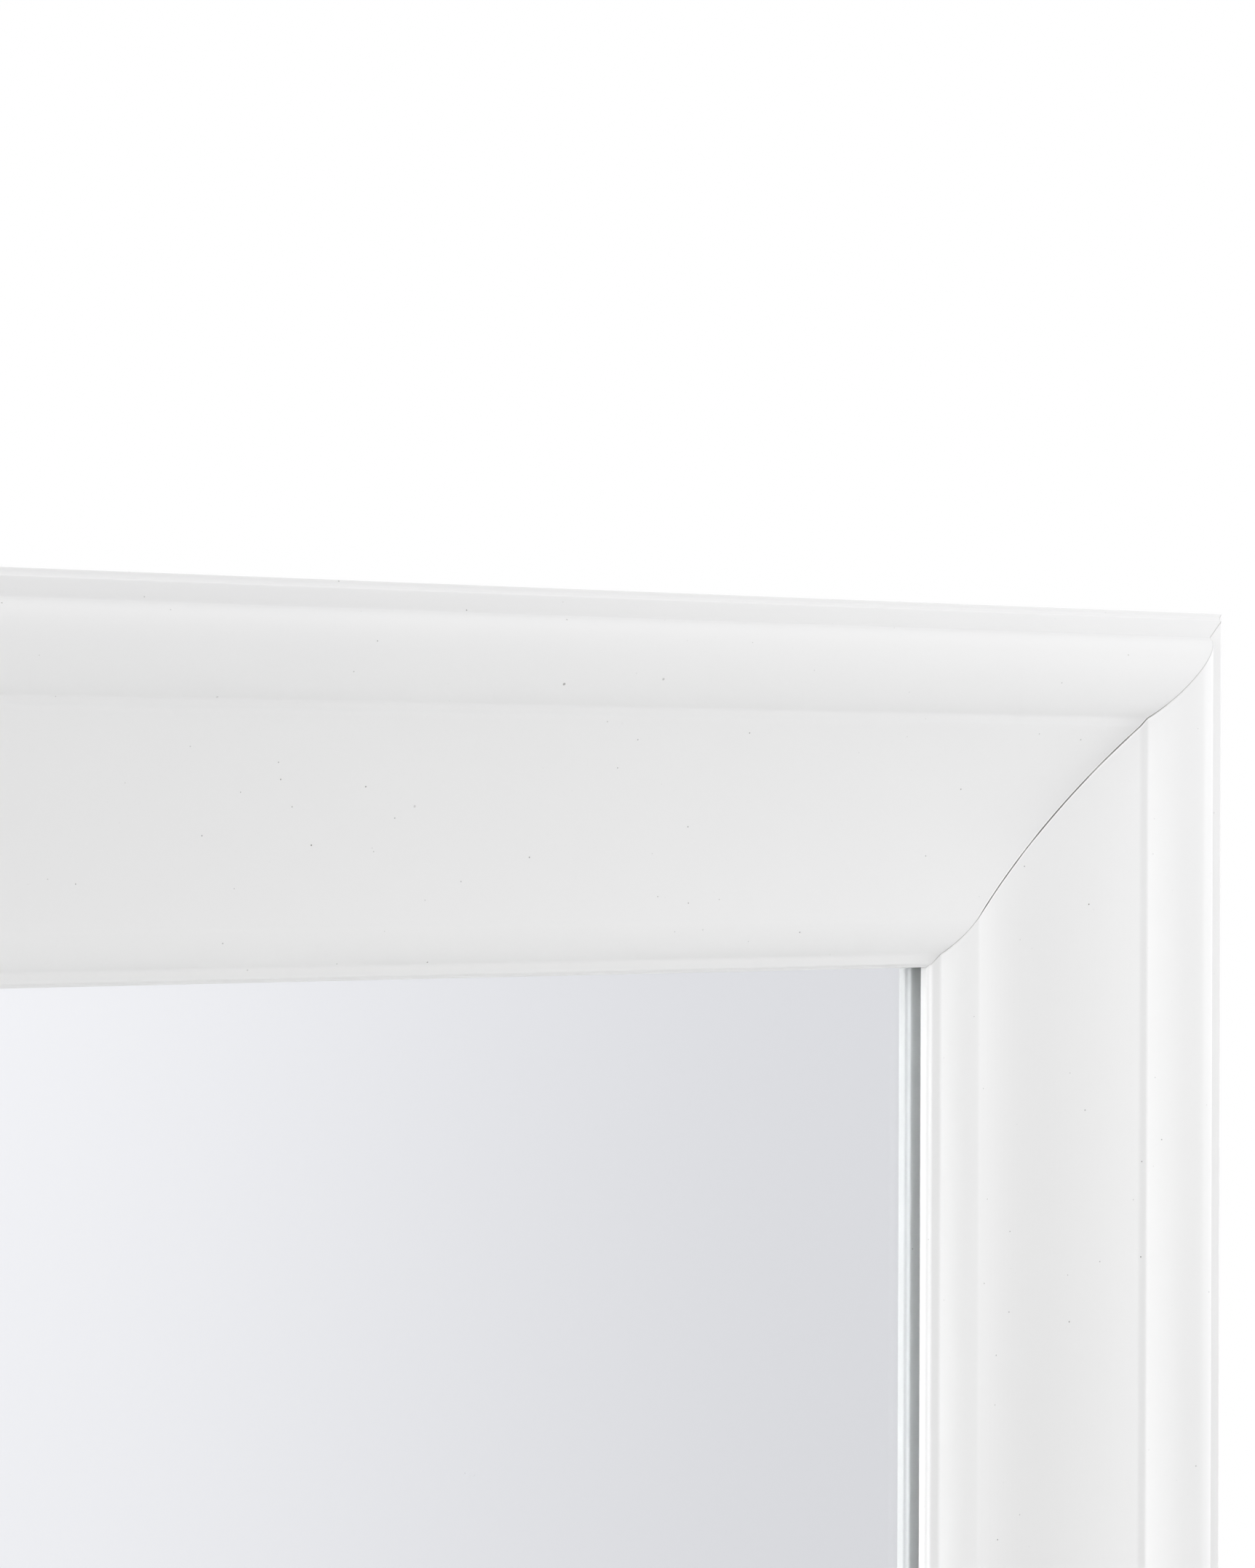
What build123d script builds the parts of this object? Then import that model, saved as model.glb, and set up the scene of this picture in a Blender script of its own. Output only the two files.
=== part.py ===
from build123d import *
import os

# Wall mirror in a wide mitred moulding, built from its four mouldings, the glass pack in their
# rebate, and the fittings on the back. The front faces -Y, up is +Z, and the wall is the plane
# Y = 0, with the origin on the wall behind the middle of the mirror. Sizes are in millimetres.

# The frame as a whole
overall_width = 650.0
overall_height = 850.0
moulding_width = 79.2
mitre_gap = 0.16  # open line along each glued mitre

# Widths of the members of the moulding, from the outer edge towards the glass
step_width = 5.6  # small outer step with a rounded edge
outer_round = 1.8
torus_width = 18.4  # large round member
torus_rise_width = 7.5  # from the step up to the crown of the torus
quirk_width = 1.9  # narrow flat between the torus and the cove
ovolo_width = 8.0  # quarter-round member between the cove and the lip
lip_width = 2.9  # flat lip beside the glass
lip_round = 0.9  # both edges of the lip's nose

# Heights of the members above the back of the lip
edge_height = 12.9
step_height = 13.4
crown_height = 18.9
quirk_height = 13.1
cove_start_height = 12.8
cove_sag = 3.9
arris_height = 7.8
ovolo_sag = 1.1
ovolo_foot_height = 4.4
lip_height = 3.8

# The glass pack, held in a rebate behind the lip
lip_cover = 5.7  # how far the lip and its rebate reach over the pack
lip_clearance = 0.1
glass_thickness = 3.0
coating_thickness = 0.15
foam_thickness = 2.0
board_thickness = 3.0
pack_side_clearance = 1.5
pack_top_clearance = 3.0

# Rubber bumpers between the frame and the wall
bumper_height = 6.0
bumper_radius = 7.0
bumper_taper = 10.0  # degrees
bumper_edge_round = 0.8
bumper_inset_x = 20.0
bumper_inset_z = 50.0

# Steel wedges across the mitres
nail_thickness = 0.6
nail_leg = 7.0
nail_depth = 7.0
nail_clearance = 0.05
nail_insets = (30.0, 58.0)  # from both outer edges

# Turn buttons over the backing board
button_length = 30.0
button_width = 12.0
button_thickness = 1.2
button_tail = 2.0  # steel behind the pivot beyond the round end's centre
button_chamfer = 0.25
button_lift = 0.15  # running gap to the frame's back
button_bore_clearance = 0.08
button_pivot_setback = 9.0  # from the rebate wall to the pivot
button_spread_across = 250.0  # between the two buttons on a rail
button_spread_up = 400.0  # between the two buttons on a stile

# Pan-head screws: shank radius and length, head radius and height
button_screw_radius = 1.75
button_screw_length = 10.0
button_head_radius = 3.5
button_head_height = 2.1
hanger_screw_radius = 2.0
hanger_screw_length = 12.0
hanger_head_radius = 3.9
hanger_head_height = 2.3
screw_tip_length = 2.0
head_rim_height = 0.65  # straight part of the heads, under their domes
recess_length = 4.0  # cross recess in the heads
recess_width = 0.9
recess_depth = 1.2
pilot_clearance = 0.1

# Strap hangers and their D-rings
hanger_inset = 32.0  # from the frame's outer side edge
hanger_drop = 170.0  # from the frame's top edge to the ring's bar
strap_width = 14.0
strap_thickness = 1.2
strap_length = 48.0  # from the ring's bar to the lower end
strap_corner_round = 5.0
strap_neck = 5.0  # from the bar to where the strap lies flat
strap_hole_drops = (25.0, 40.0)  # below the bar
strap_hole_clearance = 0.15
ring_wire_radius = 1.25
ring_bar_clearance = 0.08
ring_rest_gap = 0.35  # ring to strap as it hangs
ring_half_width = 10.0  # to the centre of the wire
ring_straight = 5.0
ring_corner_round = 2.6

# Planes worked out from the sizes above
frame_back = -bumper_height
board_front = frame_back - board_thickness
foam_front = board_front - foam_thickness
coating_front = foam_front - coating_thickness
glass_front = coating_front - glass_thickness
lip_back = glass_front - lip_clearance
rebate_depth = frame_back - lip_back
rebate_left = overall_width / 2 - moulding_width + lip_cover
rebate_top = overall_height / 2 - moulding_width + lip_cover
backward = Vector(0, 1, 0)

os.makedirs("parts", exist_ok=True)


def keep(part, label):
    """Names a finished piece and writes it to its own file."""
    part.label = label
    export_step(part, f"parts/{label}.step")


# Section of the moulding: x runs from the outer edge towards the glass, y is height above the
# back of the lip. The step, torus, quirk, cove, ovolo and lip follow each other from x = 0.
torus_start = step_width
crown = torus_start + torus_rise_width
torus_end = torus_start + torus_width
cove_start = torus_end + quirk_width
lip_start = moulding_width - lip_width
arris = lip_start - ovolo_width

with BuildSketch() as section:
    with BuildLine():
        Line((0, -rebate_depth), (0, edge_height))
        Line((0, edge_height), (torus_start, step_height))
        TangentArc((crown, crown_height), (torus_start, step_height), tangent=(-1, 0))
        TangentArc((crown, crown_height), (torus_end, quirk_height), tangent=(1, 0))
        Line((torus_end, quirk_height), (cove_start, cove_start_height))
        SagittaArc((cove_start, cove_start_height), (arris, arris_height), -cove_sag)
        SagittaArc((arris, arris_height), (lip_start, ovolo_foot_height), ovolo_sag)
        Line((lip_start, ovolo_foot_height), (moulding_width, lip_height))
        Line((moulding_width, lip_height), (moulding_width, 0))
        Line((moulding_width, 0), (moulding_width - lip_cover, 0))
        Line((moulding_width - lip_cover, 0), (moulding_width - lip_cover, -rebate_depth))
        Line((moulding_width - lip_cover, -rebate_depth), (0, -rebate_depth))
    make_face()
    outer_corner = section.vertices().sort_by_distance((0, edge_height))[0]
    fillet(outer_corner, radius=outer_round)
    for nose_height in (lip_height, 0):
        nose_corner = section.vertices().sort_by_distance((moulding_width, nose_height))[0]
        fillet(nose_corner, radius=lip_round)


# Each side of the frame: the way it faces outwards, how far its outer edge is from the middle,
# and half its length
sides = {
    "top_rail": (Vector(0, 0, 1), overall_height / 2, overall_width / 2),
    "bottom_rail": (Vector(0, 0, -1), overall_height / 2, overall_width / 2),
    "left_stile": (Vector(-1, 0, 0), overall_width / 2, overall_height / 2),
    "right_stile": (Vector(1, 0, 0), overall_width / 2, overall_height / 2),
}


# Steel wedges: an angle with one leg in each moulding and its bend on the mitre, flush with the
# frame's back. The pockets that they are driven into are cut from the mouldings.
def nail_bends():
    """Each wedge's bend on the frame's back, and the ways its legs run along X and Z."""
    bends = []
    for right in (-1, 1):
        for up in (-1, 1):
            for inset in nail_insets:
                bend_x = right * (overall_width / 2 - inset)
                bend_z = up * (overall_height / 2 - inset)
                bends.append((bend_x, bend_z, -right, -up))
    return bends


def angle_points(way_x, way_z, margin):
    """Corners of an angle section whose bend is at the origin, grown by a margin all round."""
    outer = nail_thickness / 2 + margin
    reach = nail_leg + margin
    corners = [
        (-outer, -outer),
        (reach, -outer),
        (reach, outer),
        (outer, outer),
        (outer, reach),
        (-outer, reach),
    ]
    return [(x * way_x, z * way_z) for x, z in corners]


back_view = Plane(origin=(0, frame_back, 0), x_dir=(1, 0, 0), z_dir=(0, -1, 0))

with BuildPart() as corner_v_nails:
    for bend_x, bend_z, way_x, way_z in nail_bends():
        with BuildSketch(back_view):
            with Locations((bend_x, bend_z)):
                Polygon(*angle_points(way_x, way_z, 0), align=None)
        extrude(amount=nail_depth)

with BuildPart() as nail_pockets:
    for bend_x, bend_z, way_x, way_z in nail_bends():
        with BuildSketch(back_view):
            with Locations((bend_x, bend_z)):
                Polygon(*angle_points(way_x, way_z, nail_clearance), align=None)
        extrude(amount=nail_depth + nail_clearance)

keep(corner_v_nails.part, "corner_v_nails")

# Where each turn button's pivot stands: on which moulding, and on which side of its middle
button_sides = {
    "turn_button_top_left": ("top_rail", -1),
    "turn_button_top_right": ("top_rail", 1),
    "turn_button_bottom_left": ("bottom_rail", -1),
    "turn_button_bottom_right": ("bottom_rail", 1),
    "turn_button_left_lower": ("left_stile", -1),
    "turn_button_left_upper": ("left_stile", 1),
    "turn_button_right_lower": ("right_stile", -1),
    "turn_button_right_upper": ("right_stile", 1),
}
pivot_inset = moulding_width - lip_cover - button_pivot_setback

button_places = {}
for name, (side, way) in button_sides.items():
    outward, reach, _ = sides[side]
    is_rail = abs(outward.Z) > 0
    along = Vector(1, 0, 0) if is_rail else Vector(0, 0, 1)
    spread = button_spread_across if is_rail else button_spread_up
    pivot = outward * (reach - pivot_inset) + along * (way * spread / 2) + backward * frame_back
    button_places[name] = (side, Plane(origin=pivot, x_dir=-outward, z_dir=backward))

# Where each strap hanger lies: the middle of its ring's bar, projected on the frame's back
hanger_places = {
    "left": ("left_stile", -(overall_width / 2 - hanger_inset)),
    "right": ("right_stile", overall_width / 2 - hanger_inset),
}
hinge_z = overall_height / 2 - hanger_drop


def hanger_screw_planes(x):
    """Planes on the frame's back at the two screws of the hanger at x."""
    return [
        Plane(origin=(x, frame_back, hinge_z - drop), x_dir=(1, 0, 0), z_dir=(0, 1, 0))
        for drop in strap_hole_drops
    ]


# The four mouldings: one section run along each side, mitred, with pockets and pilot holes
mitre_shift = mitre_gap / 2 * 2**0.5

for side, (outward, reach, half_length) in sides.items():
    along = outward.cross(backward)
    section_plane = Plane(origin=outward * reach + backward * lip_back, x_dir=-outward, z_dir=along)
    front_view = Plane(origin=backward * frame_back, x_dir=along, z_dir=backward)
    with BuildPart() as moulding:
        with BuildSketch(section_plane):
            add(section.sketch)
        extrude(amount=half_length, both=True)
        with BuildSketch(front_view):
            with BuildLine():
                outer_end = half_length - mitre_shift
                inner_end = outer_end - moulding_width
                Polyline(
                    (-outer_end, reach),
                    (outer_end, reach),
                    (inner_end, reach - moulding_width),
                    (-inner_end, reach - moulding_width),
                    close=True,
                )
            make_face()
        extrude(amount=-(rebate_depth + crown_height), mode=Mode.INTERSECT)
        add(nail_pockets.part, mode=Mode.SUBTRACT)
        button_planes = [plane for owner, plane in button_places.values() if owner == side]
        with Locations(*button_planes):
            Hole(button_screw_radius + pilot_clearance, button_screw_length)
        for owner, x in hanger_places.values():
            if owner == side:
                with Locations(*hanger_screw_planes(x)):
                    Hole(hanger_screw_radius + pilot_clearance, hanger_screw_length)
    keep(moulding.part, side)


# The glass pack: each sheet stands on the bottom rail's rebate and has air at the sides and top
pack_width = 2 * (rebate_left - pack_side_clearance)
pack_height = 2 * rebate_top - pack_top_clearance
pack_bottom = -rebate_top

sheets = {
    "mirror_glass": (glass_front, glass_thickness),
    "silver_coating": (coating_front, coating_thickness),
    "foam_sheet": (foam_front, foam_thickness),
    "backing_board": (board_front, board_thickness),
}
for name, (front, thickness) in sheets.items():
    sheet_plane = Plane(origin=(0, front, pack_bottom), x_dir=(-1, 0, 0), z_dir=(0, 1, 0))
    with BuildPart() as sheet:
        with BuildSketch(sheet_plane):
            Rectangle(pack_width, pack_height, align=(Align.CENTER, Align.MIN))
        extrude(amount=thickness)
    keep(sheet.part, name)


# Turn buttons: flat steel ovals, each turning on its own screw
button_bore = button_screw_radius + button_bore_clearance
round_radius = button_width / 2
button_middle = button_length / 2 - round_radius - button_tail

for name, (_, place) in button_places.items():
    with BuildPart() as button:
        with BuildSketch(place.offset(button_lift)):
            with Locations((button_middle, 0)):
                SlotOverall(button_length, button_width)
            Circle(button_bore, mode=Mode.SUBTRACT)
        extrude(amount=button_thickness)
        outer_faces = button.faces().filter_by(Axis.Y).sort_by(Axis.Y)
        chamfer(outer_faces[-1].outer_wire().edges(), length=button_chamfer)
    keep(button.part, name)


def screw_outline(radius, length, head_radius, head_height):
    """Half of a pan-head screw's outline: x is the radius, y is height above the head's seat."""
    with BuildSketch() as outline:
        with BuildLine():
            Polyline(
                (0, head_height),
                (0, -length),
                (radius, screw_tip_length - length),
                (radius, 0),
                (head_radius, 0),
                (head_radius, head_rim_height),
            )
            TangentArc((0, head_height), (head_radius, head_rim_height), tangent=(1, 0))
        make_face()
    return outline.sketch


def pan_head_screw(radius, length, head_radius, head_height):
    """A screw standing along +Z with the seat of its head at the origin."""
    with BuildPart() as screw:
        with BuildSketch(Plane.XZ):
            add(screw_outline(radius, length, head_radius, head_height))
        revolve(axis=Axis.Z)
        with BuildSketch(Plane.XY.offset(head_height)):
            Rectangle(recess_length, recess_width)
            Rectangle(recess_width, recess_length)
        extrude(amount=-recess_depth, mode=Mode.SUBTRACT)
    return screw.part


# Screws of the turn buttons, their heads just clear of the buttons
button_screw = pan_head_screw(
    button_screw_radius, button_screw_length, button_head_radius, button_head_height
)
seat_height = 2 * button_lift + button_thickness

with BuildPart() as turn_button_screws:
    with Locations(*[plane.offset(seat_height) for _, plane in button_places.values()]):
        add(button_screw)
keep(turn_button_screws.part, "turn_button_screws")

# Screws of the hangers, their heads tight on the straps
hanger_screw = pan_head_screw(
    hanger_screw_radius, hanger_screw_length, hanger_head_radius, hanger_head_height
)

with BuildPart() as hanger_screws:
    for _, x in hanger_places.values():
        with Locations(*[plane.offset(strap_thickness) for plane in hanger_screw_planes(x)]):
            add(hanger_screw)
keep(hanger_screws.part, "hanger_screws")


# Strap hangers: a steel strip with one end rolled round the bar of the ring
bar_height = strap_thickness + ring_rest_gap + ring_wire_radius
eye_bore = ring_wire_radius + ring_bar_clearance
eye_radius = eye_bore + strap_thickness
ring_corner = ring_half_width - ring_corner_round

for hand, (_, x) in hanger_places.items():
    side_view = Plane(origin=(x, frame_back, hinge_z), x_dir=(0, 1, 0), z_dir=(1, 0, 0))
    with BuildPart() as strap:
        with BuildSketch(side_view):
            with BuildLine():
                Polyline(
                    (0, -strap_length),
                    (0, -strap_neck),
                    (bar_height - eye_radius, 0),
                    (bar_height, 0),
                    (bar_height, -eye_bore - strap_thickness / 2),
                    (strap_thickness, -strap_neck),
                    (strap_thickness, -strap_length),
                    close=True,
                )
            make_face()
            with Locations((bar_height, 0)):
                Circle(eye_radius)
                Circle(eye_bore, mode=Mode.SUBTRACT)
        extrude(amount=strap_width / 2, both=True)
        lower_corners = strap.edges().filter_by(Axis.Y).group_by(Axis.Z)[0]
        fillet(lower_corners, radius=strap_corner_round)
        with Locations(*[plane.offset(strap_thickness) for plane in hanger_screw_planes(x)]):
            Hole(hanger_screw_radius + strap_hole_clearance, strap_thickness)
    keep(strap.part, f"hanger_strap_{hand}")

    # D-ring: round wire bent to a D, its straight bar in the strap's eye, hanging down. One half
    # is swept along its path and mirrored.
    ring_plane = Plane(origin=(x, frame_back + bar_height, hinge_z), x_dir=(1, 0, 0), z_dir=(0, -1, 0))
    bar_section = Plane(origin=ring_plane.origin, x_dir=(0, 1, 0), z_dir=(1, 0, 0))
    with BuildPart() as ring:
        with BuildLine(ring_plane) as half_path:
            Line((0, 0), (ring_corner, 0))
            CenterArc((ring_corner, -ring_corner_round), ring_corner_round, 90, -90)
            Line((ring_half_width, -ring_corner_round), (ring_half_width, -ring_straight))
            CenterArc((0, -ring_straight), ring_half_width, 0, -90)
        with BuildSketch(bar_section):
            Circle(ring_wire_radius)
        sweep(path=half_path.wire())
        mirror(about=Plane.YZ.offset(x))
    keep(ring.part, f"hanger_ring_{hand}")


# Rubber bumpers near the corners, on the stiles
for hand, way_x in (("left", -1), ("right", 1)):
    for height, way_z in (("top", 1), ("bottom", -1)):
        centre_x = way_x * (overall_width / 2 - bumper_inset_x)
        centre_z = way_z * (overall_height / 2 - bumper_inset_z)
        foot = Plane(origin=(centre_x, frame_back, centre_z), x_dir=(1, 0, 0), z_dir=(0, 1, 0))
        with BuildPart() as bumper:
            with BuildSketch(foot):
                Circle(bumper_radius)
            extrude(amount=bumper_height, taper=bumper_taper)
            wall_edge = bumper.edges().filter_by(GeomType.CIRCLE).sort_by(Axis.Y)[-1]
            fillet(wall_edge, radius=bumper_edge_round)
        keep(bumper.part, f"wall_bumper_{height}_{hand}")
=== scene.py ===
import math

import bpy
import numpy as np
from mathutils import Matrix, Vector


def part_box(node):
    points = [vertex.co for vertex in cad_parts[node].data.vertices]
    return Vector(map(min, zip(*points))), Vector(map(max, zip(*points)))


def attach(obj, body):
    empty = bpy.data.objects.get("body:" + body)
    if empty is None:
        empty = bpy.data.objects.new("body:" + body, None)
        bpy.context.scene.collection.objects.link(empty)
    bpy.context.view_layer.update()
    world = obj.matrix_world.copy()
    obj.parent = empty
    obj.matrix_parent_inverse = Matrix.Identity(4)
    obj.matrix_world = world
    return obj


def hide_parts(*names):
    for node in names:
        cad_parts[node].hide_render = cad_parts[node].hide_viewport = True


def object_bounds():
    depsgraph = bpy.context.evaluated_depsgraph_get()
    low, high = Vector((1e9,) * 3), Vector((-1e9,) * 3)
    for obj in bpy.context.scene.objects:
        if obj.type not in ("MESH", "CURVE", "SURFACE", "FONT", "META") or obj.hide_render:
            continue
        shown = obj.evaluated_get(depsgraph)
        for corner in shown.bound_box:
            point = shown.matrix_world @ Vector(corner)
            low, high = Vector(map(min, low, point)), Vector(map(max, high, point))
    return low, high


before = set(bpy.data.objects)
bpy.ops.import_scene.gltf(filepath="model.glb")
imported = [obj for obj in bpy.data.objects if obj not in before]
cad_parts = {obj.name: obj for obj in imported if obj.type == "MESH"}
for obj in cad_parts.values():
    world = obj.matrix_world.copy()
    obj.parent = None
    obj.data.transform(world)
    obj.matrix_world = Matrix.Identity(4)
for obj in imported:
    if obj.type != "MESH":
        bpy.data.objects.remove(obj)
cad_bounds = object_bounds()
mm = 0.001


# The four mouldings are lengths of primed fibreboard run to one section and wrapped in a white
# satin finish, which turns a little way under the lip and stops there. Their ends are cut at 45
# degrees, eased with fine paper, glued and wedged, and the joint stays as a fine dark line.

step_width = 5.6 * mm
outer_round = 1.8 * mm
torus_width = 18.4 * mm
torus_rise_width = 7.5 * mm
quirk_width = 1.9 * mm
ovolo_width = 8.0 * mm
lip_width = 2.9 * mm
lip_round = 0.9 * mm

edge_height = 12.9 * mm
step_height = 13.4 * mm
crown_height = 18.9 * mm
quirk_height = 13.1 * mm
cove_start_height = 12.8 * mm
cove_sag = 3.9 * mm
arris_height = 7.8 * mm
ovolo_sag = 1.1 * mm
ovolo_foot_height = 4.4 * mm
lip_height = 3.8 * mm

lip_cover = 5.7 * mm
finish_wrap = 4.0 * mm  # how far the finish reaches under the lip
finish_round = 0.25 * mm  # how far the finish rounds off every edge of the section
wedge_stand = 0.1 * mm  # the wedges stand this far out of the mouldings' backs
mitre_gap = 0.16 * mm
point_step = 0.2 * mm

rail_low, rail_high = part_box("top_rail")
stile_low, stile_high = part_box("right_stile")
mitre_shift = mitre_gap / 2 * math.sqrt(2)
half_width = rail_high.x + mitre_shift
half_height = rail_high.z
moulding_width = rail_high.z - rail_low.z
lip_back = rail_low.y + crown_height
moulding_back = rail_high.y - wedge_stand
rebate_depth = moulding_back - lip_back


def arc(start, end, bulge, count=32):
    """Points on a circular arc whose middle stands off its chord by bulge, to the left of the way.
    Its radius is (half chord squared + bulge squared) / (2 bulge)."""
    start, end = np.array(start), np.array(end)
    half = np.hypot(*(end - start)) / 2
    way = (end - start) / (2 * half)
    left = np.array([-way[1], way[0]])
    radius = (half**2 + bulge**2) / (2 * bulge)
    centre = (start + end) / 2 + left * (bulge - radius)
    angle = np.linspace(-1, 1, count)[:, None] * math.asin(half / radius)
    return centre + radius * (left * np.cos(angle) + way * np.sin(angle))


def round_over(crown, foot, count=32):
    """Points from a crown, where the arc runs level, down to its foot.
    Its radius is (run squared + drop squared) / (2 drop)."""
    run = foot[0] - crown[0]
    drop = crown[1] - foot[1]
    radius = (run**2 + drop**2) / (2 * drop)
    angle = np.linspace(0, 1, count) * math.atan2(run, radius - drop)
    return np.array(crown) + radius * np.stack([np.sin(angle), np.cos(angle) - 1], axis=1)


def rounded_corner(before, corner, after, radius, count=12):
    """Points of the arc of a radius that is tangent to the two straight runs at a corner."""
    before, corner, after = np.array(before), np.array(corner), np.array(after)
    to_before = (before - corner) / np.hypot(*(before - corner))
    to_after = (after - corner) / np.hypot(*(after - corner))
    half_angle = math.acos(to_before @ to_after) / 2
    setback = radius / math.tan(half_angle)
    start = corner + to_before * setback
    end = corner + to_after * setback
    turn = np.sign(to_after[0] * to_before[1] - to_after[1] * to_before[0])
    return arc(start, end, turn * radius * (1 - math.sin(half_angle)), count)


def evened(points, step):
    """The same line with points at even steps along it."""
    way = np.r_[0, np.cumsum(np.hypot(*np.diff(points, axis=0).T))]
    marks = np.linspace(0, way[-1], int(way[-1] / step) + 1)
    return np.stack([np.interp(marks, way, points[:, 0]), np.interp(marks, way, points[:, 1])], axis=1)


def softened(points, step, reach):
    """A line of even steps with its corners rounded off: each point becomes the mean of those
    within reach, weighted by a raised cosine. The line is carried past its ends by turning it
    about them, so that they stay."""
    count = int(round(reach / step))
    weights = 1 + np.cos(np.linspace(-math.pi, math.pi, 2 * count + 3)[1:-1])
    weights /= weights.sum()
    head = 2 * points[0] - points[count:0:-1]
    tail = 2 * points[-1] - points[-2 : -count - 2 : -1]
    whole = np.vstack([head, points, tail])
    return np.stack([np.convolve(whole[:, k], weights, "valid") for k in (0, 1)], axis=1)


# The section: the first number runs from the outer edge towards the glass, the second is height
# above the lip's back
crown = (step_width + torus_rise_width, crown_height)
step_inner = (step_width, step_height)
torus_end = (step_width + torus_width, quirk_height)
cove_start = (torus_end[0] + quirk_width, cove_start_height)
lip_start = (moulding_width - lip_width, ovolo_foot_height)
arris = (lip_start[0] - ovolo_width, arris_height)
lip_edge = (moulding_width, lip_height)
lip_foot = (moulding_width, 0)
wrap_end = (moulding_width - finish_wrap, 0)
face = np.vstack(
    [
        [(0, -rebate_depth)],
        rounded_corner((0, 0), (0, edge_height), step_inner, outer_round),
        round_over(crown, step_inner)[::-1],
        round_over(crown, torus_end)[1:],
        arc(cove_start, arris, -cove_sag),
        arc(arris, lip_start, ovolo_sag)[1:],
        rounded_corner(lip_start, lip_edge, lip_foot, lip_round),
        rounded_corner(lip_edge, lip_foot, wrap_end, lip_round),
        [wrap_end],
    ]
)
finished_face = softened(evened(face, point_step), point_step, 2 * finish_round)
rebate = [(moulding_width - lip_cover, 0), (moulding_width - lip_cover, -rebate_depth)]
section = np.vstack([finished_face, rebate])


def inward_normals(loop):
    """Unit normals into a section whose points run clockwise, from each point's two neighbours."""
    way = np.roll(loop, -1, axis=0) - np.roll(loop, 1, axis=0)
    way /= np.hypot(*way.T)[:, None]
    return np.stack([way[:, 1], -way[:, 0]], axis=1)


# How far the eased end falls back from the section, at distances from the cut
easing = ((0.0, 0.10 * mm), (0.05 * mm, 0.045 * mm), (0.13 * mm, 0.012 * mm), (0.3 * mm, 0.0))
length_steps = 12
sharp_above = math.radians(38)
# The glued joint has opened a little across the cove. From the outer edge: where it begins and
# ends, and the share of the gap and of the easing that the tight parts keep
joint_opens = (20 * mm, 26 * mm)
joint_closes = (64 * mm, 70 * mm)
tight_share = 0.35


def piece_of(name, vertices, faces, materials):
    """A mesh object that rides on the frame, from arrays of vertices and faces."""
    mesh = bpy.data.meshes.new(name)
    mesh.from_pydata(vertices, [], faces)
    for material in materials:
        mesh.materials.append(material)
    thing = bpy.data.objects.new(name, mesh)
    bpy.context.scene.collection.objects.link(thing)
    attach(thing, "frame")
    return thing


def moulding(name, outward, reach, half_length, materials):
    """The section carried along one side of the frame. A point (w, h) of the section lies at
    outward * (reach - w) - Y * h, and the run ends at half_length - w, so that both ends lie in
    the mitre's planes. The last stations draw in by the easing."""
    outward = np.array(outward)
    along = np.cross(outward, (0, 1, 0))
    normals = inward_normals(section)
    openness = np.interp(section[:, 0], joint_opens + joint_closes, (0, 1, 1, 0))
    share_open = tight_share + (1 - tight_share) * openness
    rings = []
    ends = [(-1, back, inset) for back, inset in easing]
    spans = np.linspace(-1, 1, length_steps + 1)[1:-1]
    stations = ends + [(span, easing[-1][0], 0.0) for span in spans]
    stations += [(1, back, inset) for back, inset in reversed(easing)]
    for share, back, inset in stations:
        loop = section + normals * inset * share_open[:, None]
        run = (half_length - loop[:, 0] - mitre_shift * share_open - back) * share
        place = outward * (reach - loop[:, :1]) + along * run[:, None]
        place[:, 1] = lip_back - loop[:, 1]
        rings.append(place)
    count = len(section)
    this = np.arange(count)
    after = np.roll(this, -1)
    faces = []
    for row in range(len(stations) - 1):
        low, high = row * count, (row + 1) * count
        faces += np.stack([low + this, low + after, high + after, high + this], axis=1).tolist()
    faces.append(this[::-1].tolist())
    faces.append((this + (len(stations) - 1) * count).tolist())
    thing = piece_of(f"{name}_moulding", np.vstack(rings), faces, materials)
    mesh = thing.data
    strip = len(finished_face) - 1
    raw = [f % count >= strip for f in range(len(faces) - 2)] + [True, True]
    mesh.polygons.foreach_set("material_index", np.array(raw, dtype=np.int32))
    mesh.polygons.foreach_set("use_smooth", np.ones(len(faces), dtype=bool))
    mesh.set_sharp_from_angle(angle=sharp_above)
    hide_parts(name)
    return thing


class Wire:
    """An output of a node. Python's arithmetic and comparisons on it add Math nodes."""

    def __init__(self, nodes, socket):
        self.nodes = nodes
        self.socket = socket

    def maths(self, operation, left, right=None):
        """A Math node of an operation on one or two values."""
        values = {0: left} if right is None else {0: left, 1: right}
        return self.nodes.add("ShaderNodeMath", {"operation": operation}, values)

    def __add__(self, other):
        return self.maths("ADD", self, other)

    def __radd__(self, other):
        return self.maths("ADD", other, self)

    def __sub__(self, other):
        return self.maths("SUBTRACT", self, other)

    def __rsub__(self, other):
        return self.maths("SUBTRACT", other, self)

    def __mul__(self, other):
        return self.maths("MULTIPLY", self, other)

    def __rmul__(self, other):
        return self.maths("MULTIPLY", other, self)

    def __truediv__(self, other):
        return self.maths("DIVIDE", self, other)

    def __pow__(self, other):
        return self.maths("POWER", self, other)

    def __lt__(self, other):
        return self.maths("LESS_THAN", self, other)

    def __gt__(self, other):
        return self.maths("GREATER_THAN", self, other)

    def __abs__(self):
        return self.maths("ABSOLUTE", self)

    def output(self, name):
        """Another output of the same node."""
        return Wire(self.nodes, self.socket.node.outputs[name])


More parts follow.
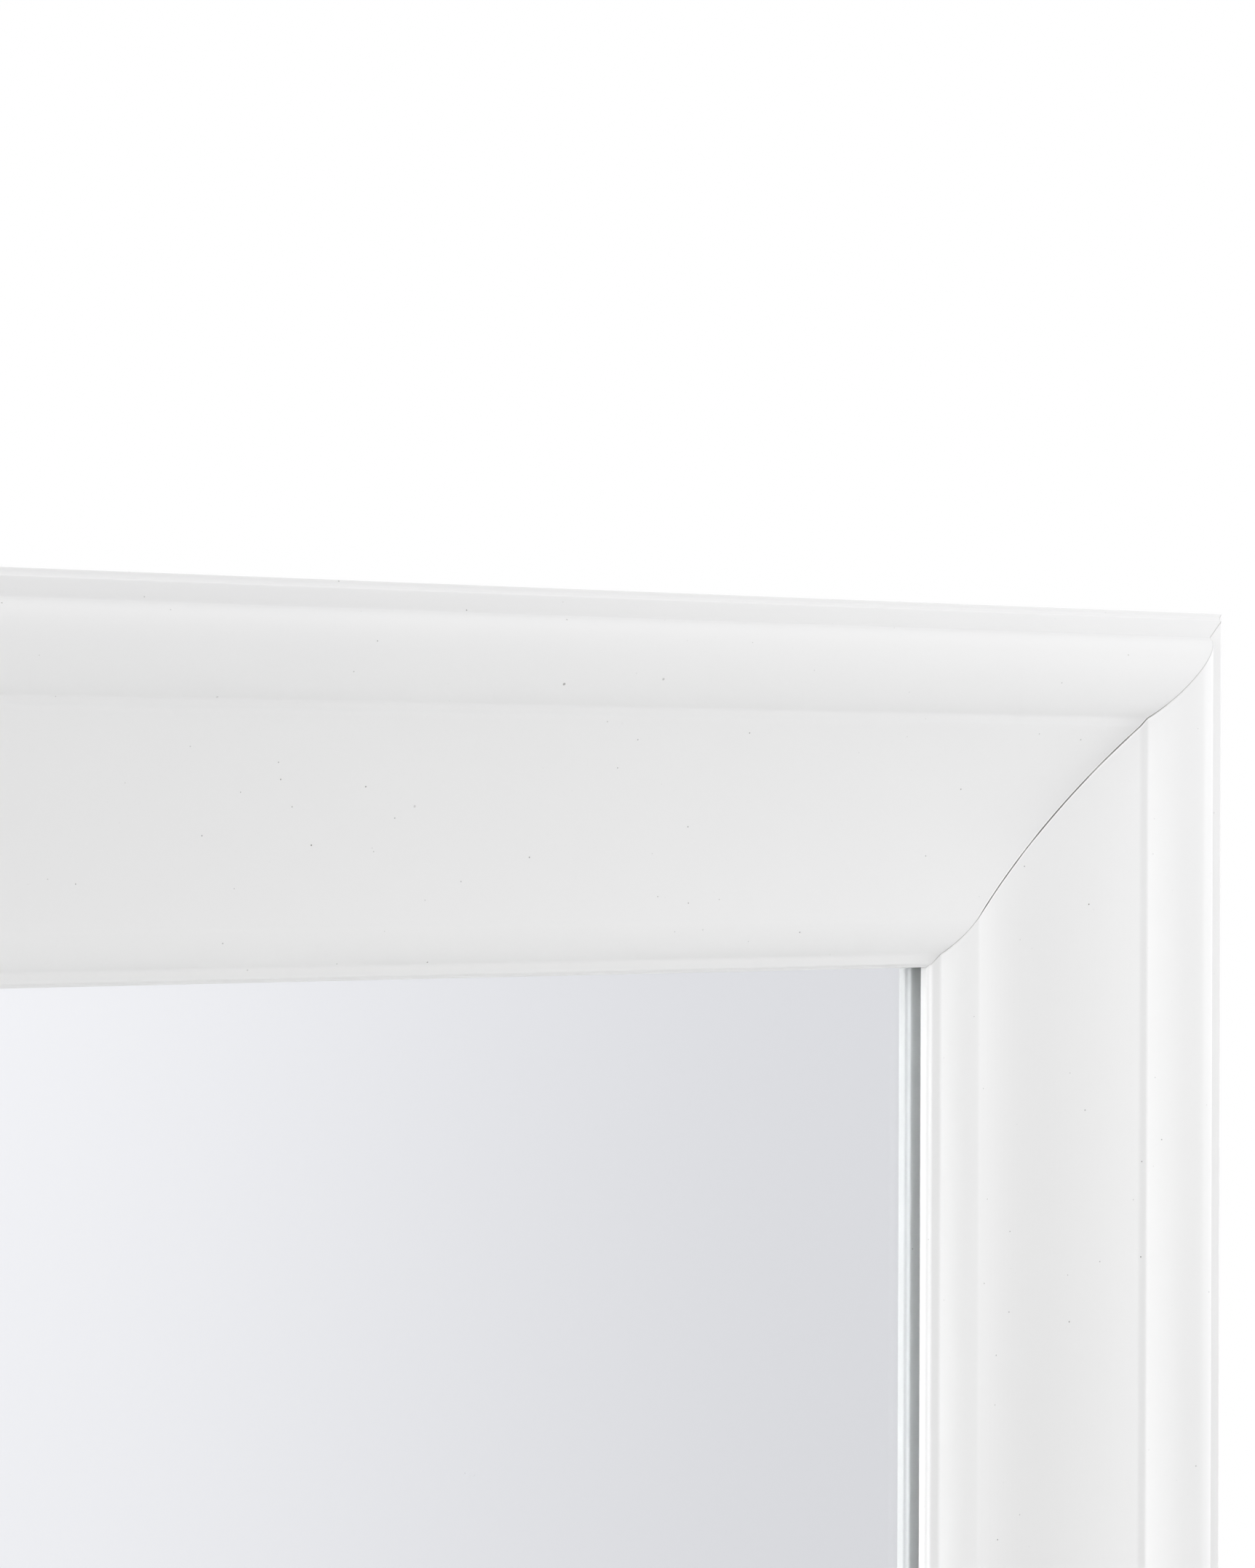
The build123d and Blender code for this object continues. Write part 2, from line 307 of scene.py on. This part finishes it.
class Nodes:
    """The nodes of one material, or of the world."""

    def __init__(self, tree):
        self.tree = tree
        tree.nodes.clear()

    def add(self, kind, settings=None, inputs=None, output=0):
        """Adds a node of a type, makes its settings, then sets or links its inputs, and gives one
        of its outputs."""
        node = self.tree.nodes.new(kind)
        for name, value in (settings or {}).items():
            setattr(node, name, value)
        for name, value in (inputs or {}).items():
            if isinstance(value, Wire):
                self.tree.links.new(value.socket, node.inputs[name])
            else:
                node.inputs[name].default_value = value
        return Wire(self, node.outputs[output]) if len(node.outputs) else node

    def place(self):
        """A point's place in the mirror's own frame, in metres."""
        return self.add("ShaderNodeTexCoord", output="Object")

    def noise(self, place, size, detail=2.0, roughness=0.5):
        """Cloudy values about 0.5, whose largest forms are about a size across."""
        inputs = {"Vector": place, "Scale": 1 / size, "Detail": detail, "Roughness": roughness}
        return self.add("ShaderNodeTexNoise", inputs=inputs)

    def fade(self, value, low, high):
        """0 where a value is at low, 1 where it is at high, and smooth in between."""
        inputs = {"Value": value, "From Min": low, "From Max": high}
        return self.add("ShaderNodeMapRange", {"interpolation_type": "SMOOTHSTEP"}, inputs)

    def mix(self, factor, first, second):
        """The first colour where the factor is 0, the second where it is 1."""
        inputs = {"Factor": factor, 6: first, 7: second}
        return self.add("ShaderNodeMix", {"data_type": "RGBA"}, inputs, output=2)

    def bump(self, height, distance, strength=1.0, normal=None):
        """A normal tilted as a relief of that height would tilt it, on top of another if given."""
        inputs = {"Height": height, "Distance": distance, "Strength": strength}
        if normal is not None:
            inputs["Normal"] = normal
        return self.add("ShaderNodeBump", inputs=inputs)

    def specks(self, place, cell, radius):
        """Round specks of dust: one in each cell of about that size, seen where the surface
        passes within a radius of it. Each has its own strength."""
        inputs = {"Vector": place, "Scale": 1 / cell}
        distance = self.add("ShaderNodeTexVoronoi", inputs=inputs)
        near = self.fade(distance, radius / cell, 0.4 * radius / cell)
        chance = self.add("ShaderNodeSeparateColor", inputs={"Color": distance.output("Color")})
        return near * chance**2

    def marks(self, place, cell, length, width, bend):
        """Fine curved marks, such as lint and hair scratches, one to a cell of the X and Z plane:
        a piece of a ring whose radius is bend, turned a random way."""
        flat = self.add("ShaderNodeSeparateXYZ", inputs={0: place})
        level = self.add("ShaderNodeCombineXYZ", inputs={0: flat, 1: flat.output("Z")})
        settings = {"voronoi_dimensions": "2D"}
        found = self.add("ShaderNodeTexVoronoi", settings, {"Vector": level, "Scale": 1 / cell})
        centre = self.add(
            "ShaderNodeVectorMath", {"operation": "SCALE"}, {0: found.output("Position"), "Scale": cell}
        )
        away = self.add("ShaderNodeVectorMath", {"operation": "SUBTRACT"}, {0: level, 1: centre})
        red = self.add("ShaderNodeSeparateColor", inputs={0: found.output("Color")})
        turn = red * (2 * math.pi)
        across = self.add("ShaderNodeSeparateXYZ", inputs={0: away})
        ahead = across * self.cosine(turn) + across.output("Y") * self.sine(turn)
        radius = self.add("ShaderNodeVectorMath", {"operation": "LENGTH"}, {0: away}, output="Value")
        line = self.fade(abs(radius - bend * (0.5 + red.output("Green"))), width, 0.3 * width)
        shown = self.fade(ahead, bend - length * 0.3, bend - length * 0.2)
        return line * shown * (red.output("Blue") > 0.45)

    def cosine(self, value):
        return self.add("ShaderNodeMath", {"operation": "COSINE"}, {0: value})

    def sine(self, value):
        return self.add("ShaderNodeMath", {"operation": "SINE"}, {0: value})

    def surface(self, shader, output="ShaderNodeOutputMaterial"):
        self.add(output, inputs={"Surface": shader})


def new_material(name):
    """A material of a name, with its emptied nodes."""
    material = bpy.data.materials.new(name)
    material.use_nodes = True
    return material, Nodes(material.node_tree)


def mitre_distance(nodes, place):
    """How far a point is from the nearest mitre's plane, where it would be as far from the side
    edge as from the top or bottom edge, and how far it is from the side edge."""
    split = nodes.add("ShaderNodeSeparateXYZ", inputs={0: place})
    from_side = half_width - abs(split)
    from_end = half_height - abs(split.output("Z"))
    return abs(from_side - from_end) / math.sqrt(2), from_side


def white_finish():
    """Satin white: nearly even in colour, with a faint orange peel, a little dust, a few hairs,
    fine scratches, grime drawn into the mitres, and a painted highlight as pale lines beside them."""
    material, nodes = new_material("white_satin_finish")
    place = nodes.place()
    clouds = nodes.noise(place, 60 * mm, 3.0)
    base = nodes.mix(clouds, (0.785, 0.785, 0.787, 1), (0.805, 0.805, 0.803, 1))
    dust = nodes.specks(place, 4.0 * mm, 0.22 * mm)
    motes = nodes.specks(place, 13.0 * mm, 0.42 * mm)
    hairs = nodes.marks(place, 34 * mm, 5.0 * mm, 0.12 * mm, 3.0 * mm)
    scratches = nodes.marks(place, 31 * mm, 9.0 * mm, 0.09 * mm, 9.0 * mm)
    dirt = nodes.mix(dust, base, (0.09, 0.085, 0.08, 1))
    dirt = nodes.mix(motes, dirt, (0.13, 0.12, 0.11, 1))
    dirt = nodes.mix(hairs * 0.45, dirt, (0.35, 0.33, 0.31, 1))
    to_mitre, from_side = mitre_distance(nodes, place)
    open_joint = nodes.fade(from_side, *joint_opens) * nodes.fade(from_side, *joint_closes[::-1])
    patchy = nodes.fade(nodes.noise(place, 9 * mm, 3.0), 0.35, 0.6)
    grime = nodes.fade(to_mitre, 0.24 * mm, 0.11 * mm) * (0.1 + open_joint * (0.35 + 0.45 * patchy))
    # Painted highlight: pale colour within about half a millimetre of the open joint, outside the grime,
    # stands in for light caught by the eased edges
    painted_edge_highlight = nodes.fade(to_mitre, 0.5 * mm, 0.28 * mm) * open_joint
    colour = nodes.mix(painted_edge_highlight, dirt, (0.93, 0.93, 0.93, 1))
    colour = nodes.mix(grime, colour, (0.12, 0.115, 0.11, 1))
    sheen = nodes.noise(place, 25 * mm, 4.0)
    roughness = 0.30 + 0.12 * sheen + 0.25 * dust + 0.25 * scratches
    peel = nodes.noise(place, 1.6 * mm, 2.0)
    grain = nodes.noise(place, 0.12 * mm, 2.0)
    normal = nodes.bump(peel, 0.0035 * mm)
    normal = nodes.bump(grain, 0.0012 * mm, normal=normal)
    normal = nodes.bump(dust + motes + hairs * 0.6 - scratches * 0.5, 0.05 * mm, 0.6, normal)
    inputs = {"Base Color": colour, "Roughness": roughness, "Normal": normal, "IOR": 1.48}
    nodes.surface(nodes.add("ShaderNodeBsdfPrincipled", inputs=inputs))
    return material


def primed_core():
    """Fibreboard under a thin grey-white primer: cloudy, scuffed along the length, with specks of
    bare board showing through."""
    material, nodes = new_material("primed_fibreboard")
    place = nodes.place()
    clouds = nodes.noise(place, 14 * mm, 5.0, 0.6)
    fibres = nodes.noise(place, 0.7 * mm, 4.0, 0.65)
    base = nodes.mix(nodes.fade(clouds, 0.3, 0.7), (0.48, 0.48, 0.47, 1), (0.57, 0.565, 0.55, 1))
    worn = nodes.fade(fibres * 0.6 + clouds * 0.4, 0.53, 0.68)
    colour = nodes.mix(worn * 0.6, base, (0.32, 0.285, 0.25, 1))
    specks = nodes.specks(place, 4.0 * mm, 0.6 * mm)
    colour = nodes.mix(specks * 0.8, colour, (0.17, 0.13, 0.095, 1))
    rubs = nodes.marks(place, 38 * mm, 26 * mm, 0.35 * mm, 15 * mm)
    colour = nodes.mix(rubs * 0.6, colour, (0.27, 0.26, 0.25, 1))
    normal = nodes.bump(fibres, 0.09 * mm, 0.9)
    inputs = {"Base Color": colour, "Roughness": 0.72 + 0.2 * fibres, "Normal": normal}
    nodes.surface(nodes.add("ShaderNodeBsdfPrincipled", inputs=inputs))
    return material


moulding_materials = [white_finish(), primed_core()]
moulding("top_rail", (0, 0, 1), half_height, half_width, moulding_materials)
moulding("bottom_rail", (0, 0, -1), half_height, half_width, moulding_materials)
moulding("left_stile", (-1, 0, 0), half_width, half_height, moulding_materials)
moulding("right_stile", (1, 0, 0), half_width, half_height, moulding_materials)


# The wedges are thin spring steel bent to an angle, blued by the rolling, and driven from the back
# across each mitre. Only their sharp back edges show.


def finish_node(name, material):
    """Gives a carried-over solid its finish."""
    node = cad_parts[name]
    node.data.materials.clear()
    node.data.materials.append(material)


def blued_steel():
    """Spring steel with blue-grey streaks across it, rough where it is pale."""
    material, nodes = new_material("wedge_steel")
    place = nodes.place()
    streaks = nodes.noise(place, 1.2 * mm, 4.0)
    colour = nodes.mix(streaks, (0.16, 0.17, 0.20, 1), (0.36, 0.36, 0.37, 1))
    normal = nodes.bump(streaks, 0.02 * mm)
    inputs = {"Base Color": colour, "Roughness": 0.3 + 0.3 * streaks, "Normal": normal, "Metallic": 1.0}
    nodes.surface(nodes.add("ShaderNodeBsdfPrincipled", inputs=inputs))
    return material


finish_node("corner_v_nails", blued_steel())


# The pane is 3 mm float glass. Its back is silvered, and the silver is sealed with grey paint, so
# that a second edge of the lip shows in it, as far below the surface as the glass is thick.

silver_bite = 0.02 * mm  # the silver lies this far in the glass, so that light meets the silver first


def float_glass():
    """Clear glass with a trace of green, and a few specks of dust on its face."""
    material, nodes = new_material("float_glass")
    place = nodes.place()
    inputs = {"Base Color": (0.985, 0.995, 0.99, 1), "Roughness": 0.0, "IOR": 1.52}
    glass = nodes.add("ShaderNodeBsdfPrincipled", inputs={**inputs, "Transmission Weight": 1.0})
    dust = nodes.specks(place, 6.0 * mm, 0.12 * mm) + nodes.specks(place, 19 * mm, 0.22 * mm)
    lint = nodes.add("ShaderNodeBsdfDiffuse", inputs={"Color": (0.62, 0.62, 0.60, 1)})
    nodes.surface(nodes.add("ShaderNodeMixShader", inputs={0: dust * 0.35, 1: glass, 2: lint}))
    return material


def silvering():
    """Silver on the side towards the glass, and the grey backing paint on the rest."""
    material, nodes = new_material("silver_and_paint")
    place = nodes.place()
    across = nodes.add("ShaderNodeSeparateXYZ", inputs={0: place}).output("Y")
    paint = across > silver_low.y
    speckle = nodes.noise(place, 0.5 * mm, 3.0)
    grey = nodes.mix(speckle, (0.17, 0.18, 0.18, 1), (0.24, 0.25, 0.25, 1))
    colour = nodes.mix(paint, (0.925, 0.935, 0.945, 1), grey)
    inputs = {"Base Color": colour, "Metallic": 1 - paint, "Roughness": 0.6 * paint}
    nodes.surface(nodes.add("ShaderNodeBsdfPrincipled", inputs=inputs))
    return material


silver_low, silver_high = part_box("silver_coating")
film_sides = [
    (silver_low.x, silver_high.x),
    (silver_low.y - silver_bite, silver_high.y),
    (silver_low.z, silver_high.z),
]
box_corners = [(x, y, z) for x in film_sides[0] for y in film_sides[1] for z in film_sides[2]]
box_faces = [(0, 1, 3, 2), (4, 6, 7, 5), (0, 4, 5, 1), (2, 3, 7, 6), (0, 2, 6, 4), (1, 5, 7, 3)]
silver = piece_of("silver_film", box_corners, box_faces, [silvering()])
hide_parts("silver_coating")
finish_node("mirror_glass", float_glass())


# Behind the pane lie a sheet of white foam, which takes up the play, and a board of pressed fibre
# that closes the rebate. Only the board's back and the edges of both show.


def white_foam():
    """White foam whose small cells show as a faint relief."""
    material, nodes = new_material("white_foam")
    place = nodes.place()
    cells = nodes.add("ShaderNodeTexVoronoi", inputs={"Vector": place, "Scale": 1 / (0.8 * mm)})
    colour = nodes.mix(cells, (0.70, 0.70, 0.68, 1), (0.82, 0.82, 0.80, 1))
    normal = nodes.bump(cells, 0.15 * mm)
    inputs = {"Base Color": colour, "Roughness": 0.9, "Normal": normal}
    nodes.surface(nodes.add("ShaderNodeBsdfPrincipled", inputs=inputs))
    return material


def pressed_board():
    """Brown fibreboard: matted fibres, darker flecks, and long faint rubs from handling."""
    material, nodes = new_material("pressed_fibreboard")
    place = nodes.place()
    clouds = nodes.noise(place, 45 * mm, 4.0)
    matted = nodes.noise(place, 1.1 * mm, 6.0, 0.7)
    base = nodes.mix(nodes.fade(clouds, 0.3, 0.7), (0.205, 0.116, 0.060, 1), (0.28, 0.168, 0.091, 1))
    base = nodes.mix(nodes.fade(matted, 0.40, 0.64) * 0.6, base, (0.40, 0.265, 0.16, 1))
    flecks = nodes.specks(place, 4.2 * mm, 1.0 * mm)
    colour = nodes.mix(flecks * 0.9, base, (0.06, 0.034, 0.02, 1))
    rubs = nodes.marks(place, 85 * mm, 60 * mm, 0.8 * mm, 34 * mm)
    colour = nodes.mix(rubs * 0.5, colour, (0.47, 0.34, 0.23, 1))
    normal = nodes.bump(matted, 0.06 * mm, 0.9)
    roughness = 0.62 + 0.25 * matted - 0.12 * rubs
    inputs = {"Base Color": colour, "Roughness": roughness, "Normal": normal}
    nodes.surface(nodes.add("ShaderNodeBsdfPrincipled", inputs=inputs))
    return material


finish_node("foam_sheet", white_foam())
finish_node("backing_board", pressed_board())


# The turn buttons are punched from zinc-plated steel strip, tumbled so that their edges are dull.
# Each turns on a pan-head screw whose bright plating is scuffed round the recess.


def plated_steel(name, low, high, size):
    """Zinc plate: fine crossing scratches, cloudy brightness, and a trace of yellow and blue."""
    material, nodes = new_material(name)
    place = nodes.place()
    clouds = nodes.noise(place, size, 4.0, 0.6)
    tint = nodes.noise(place, 2.5 * size, 2.0)
    base = nodes.mix(clouds, low, high)
    cool = nodes.mix(nodes.fade(tint, 0.4, 0.65) * 0.35, base, (0.40, 0.44, 0.50, 1))
    colour = nodes.mix(nodes.fade(tint, 0.55, 0.3) * 0.25, cool, (0.52, 0.48, 0.38, 1))
    scratches = nodes.marks(place, 3.3 * mm, 7 * mm, 0.05 * mm, 11 * mm)
    grain = nodes.noise(place, 0.25 * mm, 3.0)
    roughness = 0.24 + 0.22 * clouds + 0.10 * grain + 0.12 * scratches
    normal = nodes.bump(grain, 0.006 * mm)
    normal = nodes.bump(scratches, -0.02 * mm, 0.7, normal)
    inputs = {"Base Color": colour, "Roughness": roughness, "Normal": normal, "Metallic": 1.0}
    nodes.surface(nodes.add("ShaderNodeBsdfPrincipled", inputs=inputs))
    return material


button_steel = plated_steel("plated_button_steel", (0.27, 0.27, 0.265, 1), (0.50, 0.50, 0.49, 1), 7 * mm)
screw_steel = plated_steel("plated_screw_steel", (0.34, 0.34, 0.33, 1), (0.60, 0.60, 0.59, 1), 3 * mm)
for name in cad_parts:
    if name.startswith("turn_button") and name != "turn_button_screws":
        finish_node(name, button_steel)
finish_node("turn_button_screws", screw_steel)


# The hangers are steel strip with one end rolled round the bar of a welded D-ring. Strap and ring
# are nickel-plated, the ring polished by tumbling, and each strap is held by two screws.

strap_steel = plated_steel("plated_strap_steel", (0.30, 0.295, 0.285, 1), (0.52, 0.51, 0.495, 1), 9 * mm)
ring_steel = plated_steel("plated_ring_wire", (0.42, 0.41, 0.40, 1), (0.64, 0.63, 0.61, 1), 4 * mm)
for hand in ("left", "right"):
    finish_node(f"hanger_strap_{hand}", strap_steel)
    finish_node(f"hanger_ring_{hand}", ring_steel)
finish_node("hanger_screws", screw_steel)


# The bumpers are moulded rubber with a soft edge, stuck to the frame so that it stands off the wall.


def bumper_rubber():
    """Black rubber with a grey bloom and a little lint."""
    material, nodes = new_material("bumper_rubber")
    place = nodes.place()
    bloom = nodes.noise(place, 2.5 * mm, 4.0)
    grain = nodes.noise(place, 0.3 * mm, 3.0)
    lint = nodes.specks(place, 1.6 * mm, 0.18 * mm)
    base = nodes.mix(bloom, (0.020, 0.020, 0.021, 1), (0.045, 0.044, 0.043, 1))
    colour = nodes.mix(lint * 0.5, base, (0.32, 0.31, 0.29, 1))
    normal = nodes.bump(grain, 0.03 * mm, 0.7)
    inputs = {"Base Color": colour, "Roughness": 0.48 + 0.25 * bloom, "Normal": normal}
    nodes.surface(nodes.add("ShaderNodeBsdfPrincipled", inputs=inputs))
    return material


rubber = bumper_rubber()
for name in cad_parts:
    if name.startswith("wall_bumper"):
        finish_node(name, rubber)


# The studio: a pale floor that fades to white away from the mirror, white behind, and soft light
# from the sides, from above and from behind, with none from straight in front.

floor_gap = 0.5 * mm
floor_reach = 2.5
floor_fade = (0.55, 1.3)
floor_colour = (0.90, 0.90, 0.90, 1)
white = (1, 1, 1, 1)

floor_z = cad_bounds[0][2] - floor_gap
floor_mesh = bpy.data.meshes.new("pale_floor")
corners = [(x * floor_reach, y * floor_reach, floor_z) for x, y in ((-1, -1), (1, -1), (1, 1), (-1, 1))]
floor_mesh.from_pydata(corners, [], [(0, 1, 2, 3)])
floor = bpy.data.objects.new("pale_floor", floor_mesh)
bpy.context.scene.collection.objects.link(floor)

floor_material, nodes = new_material("pale_floor")
place = nodes.place()
flat = nodes.add("ShaderNodeVectorMath", {"operation": "MULTIPLY"}, {0: place, 1: (1, 1, 0)})
radius = nodes.add("ShaderNodeVectorMath", {"operation": "LENGTH"}, {0: flat}, output="Value")
matt = nodes.add("ShaderNodeBsdfDiffuse", inputs={"Color": floor_colour})
glow = nodes.add("ShaderNodeEmission", inputs={"Color": white, "Strength": 1.0})
seen = nodes.add("ShaderNodeLightPath", output="Is Camera Ray")
away = nodes.fade(radius, *floor_fade) * seen
nodes.surface(nodes.add("ShaderNodeMixShader", inputs={0: away, 1: matt, 2: glow}))
floor_mesh.materials.append(floor_material)

# How bright each side of the room is, blended over directions by the squares of their components
right_level = 1.42
left_level = 0.92
front_level = 0.0
back_level = 0.55
upper_level = 1.22
lower_level = 0.0
# Soft lights: degrees to the right of the mirror's front, degrees up, tightness and level
soft_lights = ((-65, 5, 20, 3.0), (-88, 0, 60, 12.5), (70, 0, 120, 15.0), (95, 5, 8, 0.9))
# Another, added only where light passes the pane after a diffuse bounce, so that the underside of
# the lip isn't lost in the dark
thrown_light = (-42, 0, 10, 22.0)
# What glass and metal show: white, but for the front right of the room, which falls off
far_front = (math.sin(math.radians(24)), math.sin(math.radians(40)))
wall_bright = (0.985, 0.973, 1.000, 1)
wall_dim = (0.760, 0.753, 0.781, 1)
wall_slope = 0.36
wall_level_height = -0.075

world = bpy.data.worlds.new("studio")
bpy.context.scene.world = world
world.use_nodes = True
nodes = Nodes(world.node_tree)
ray = nodes.add("ShaderNodeTexCoord", output="Generated")
east = nodes.add("ShaderNodeSeparateXYZ", inputs={0: ray})
north, up = east.output("Y"), east.output("Z")


def either(value, positive, negative):
    """One level where a component of the direction is positive, another where it isn't."""
    return negative + (positive - negative) * (value > 0)


def soft_light(azimuth, elevation, tightness, level):
    """A lobe about a direction: its level times the cosine of the angle away, to a power."""
    azimuth, elevation = math.radians(azimuth), math.radians(elevation)
    level_part = math.cos(elevation)
    way = (math.sin(azimuth) * level_part, -math.cos(azimuth) * level_part, math.sin(elevation))
    near = nodes.add("ShaderNodeVectorMath", {"operation": "DOT_PRODUCT"}, {0: ray, 1: way}, "Value")
    return level * near.maths("MAXIMUM", near, 0.0) ** tightness


light = east * east * either(east, right_level, left_level)
light = light + north * north * either(north, back_level, front_level)
light = light + up * up * either(up, upper_level, lower_level)
lamps = 0.0
for values in soft_lights:
    lamps = soft_light(*values) + lamps
light = light + lamps
dim = nodes.fade(east, *far_front) * (north < 0)
slope = 1 + wall_slope * (up - wall_level_height) * (north < 0)
slope = nodes.add("ShaderNodeCombineColor", inputs={0: slope, 1: slope, 2: slope})
walls = nodes.mix(dim, wall_bright, wall_dim)
multiplying = {"data_type": "RGBA", "blend_type": "MULTIPLY"}
walls = nodes.add("ShaderNodeMix", multiplying, {"Factor": 1.0, 6: walls, 7: slope}, 2)
path = nodes.add("ShaderNodeLightPath", output="Is Camera Ray")
through = path.output("Is Transmission Ray")
shown = nodes.mix(through + path.output("Is Glossy Ray"), light, walls)
shown = nodes.mix(path, shown, white)
after_diffuse = path.output("Diffuse Depth") > 0.5
thrown = lamps + after_diffuse * soft_light(*thrown_light)
thrown = nodes.add("ShaderNodeCombineColor", inputs={0: thrown, 1: thrown, 2: thrown})
adding = {"data_type": "RGBA", "blend_type": "ADD"}
lit = nodes.add("ShaderNodeMix", adding, {"Factor": through, 6: shown, 7: thrown}, 2)
nodes.surface(nodes.add("ShaderNodeBackground", inputs={"Color": lit}), "ShaderNodeOutputWorld")

# One lamp near the corner, on the right, from which the top rail's light falls off to the left
lamp_place = Vector((0.5, -0.35, 0.5))
lamp_aim = Vector((0.28, -0.02, 0.38))
lamp_size = 0.25
lamp_power = 0.36
lamp_data = bpy.data.lights.new("near_lamp", "AREA")
lamp_data.size = lamp_size
lamp_data.energy = lamp_power
lamp = bpy.data.objects.new("near_lamp", lamp_data)
bpy.context.scene.collection.objects.link(lamp)
lamp_turn = (lamp_aim - lamp_place).to_track_quat("-Z", "Y").to_matrix().to_4x4()
lamp.matrix_world = Matrix.Translation(lamp_place) @ lamp_turn
lamp.visible_glossy = False
lamp.visible_transmission = False


# The camera stands a little to the left of the mirror's top right corner, 35 degrees off the
# glass's normal, with a long lens that takes in that corner only.

picture_width = 1725
film_width = 36.0
lens_in_pixels = 5943.0
camera_place = Vector((-0.3495, -0.7534, 0.3805))
camera_turn = math.radians(35.0)
camera_rise = math.radians(0.31)
camera_roll = 0.0039

camera_data = bpy.data.cameras.new("corner_camera")
camera_data.sensor_fit = "HORIZONTAL"
camera_data.sensor_width = film_width
camera_data.lens = film_width * lens_in_pixels / picture_width
camera = bpy.data.objects.new("corner_camera", camera_data)
bpy.context.scene.collection.objects.link(camera)
turned = Matrix.Rotation(-camera_turn, 4, "Z") @ Matrix.Rotation(math.pi / 2 + camera_rise, 4, "X")
camera.matrix_world = Matrix.Translation(camera_place) @ turned @ Matrix.Rotation(camera_roll, 4, "Z")
bpy.context.scene.camera = camera
bpy.context.scene.view_settings.view_transform = "Standard"
